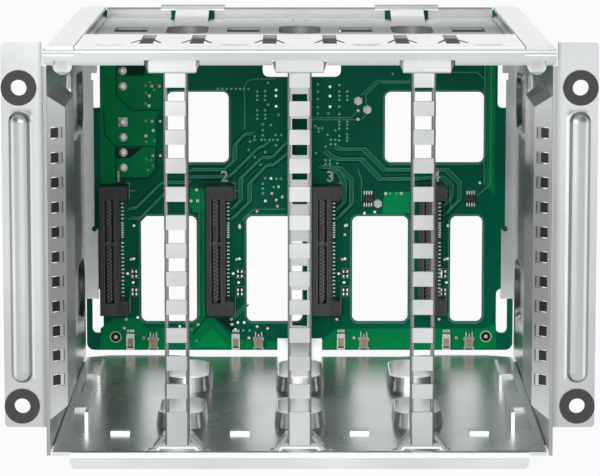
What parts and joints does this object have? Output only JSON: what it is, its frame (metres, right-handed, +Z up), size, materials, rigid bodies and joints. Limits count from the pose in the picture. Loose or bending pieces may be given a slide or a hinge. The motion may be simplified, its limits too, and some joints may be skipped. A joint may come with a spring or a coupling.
{
  "type": "drive mounting bracket",
  "caption": "Sheet-steel drive cage bracket with mounting ears, ladder divider posts and a backplane board whose upright connectors face the open front.",
  "frame": {"origin": "centre of the footprint, on the surface it stands on", "axes": "+X to the right seen from the open front, +Y from the front to the board, +Z up"},
  "size_m": [0.168, 0.1748, 0.122],
  "materials": {
    "steel": "bright zinc-plated sheet, satin",
    "grommet": "matt dark grey",
    "board": "green solder mask over glass laminate",
    "connector": "black moulded plastic",
    "contact": "gold plated",
    "header": "natural moulded plastic",
    "pin": "tinned",
    "shell": "nickel plated",
    "lamp": "pale resin on a tinned base",
    "chip": "black moulded package"
  },
  "bodies": {
    "root": {"floor_pan": "steel", "left_side_panel": "steel", "right_side_panel": "steel", "top_cover": "steel", "divider_post_left": "steel", "divider_post_centre": "steel", "divider_post_right": "steel", "rear_centre_post": "steel", "ear_grommet_lower_left": "grommet", "ear_grommet_upper_left": "grommet", "ear_grommet_lower_right": "grommet", "ear_grommet_upper_right": "grommet", "backplane_board": "board", "power_header_lower": "header", "power_header_upper": "header", "power_pins": "pin", "data_socket_shell": "shell", "data_socket_insert": "connector", "status_lamps_narrow": "lamp", "status_lamps_wide": "lamp", "driver_chips": "chip", "chip_resistors": "chip", "drive_connector_1": "connector", "connector_contacts_1": "contact", "drive_connector_2": "connector", "connector_contacts_2": "contact", "drive_connector_3": "connector", "connector_contacts_3": "contact", "drive_connector_4": "connector", "connector_contacts_4": "contact"}
  },
  "joints": []
}
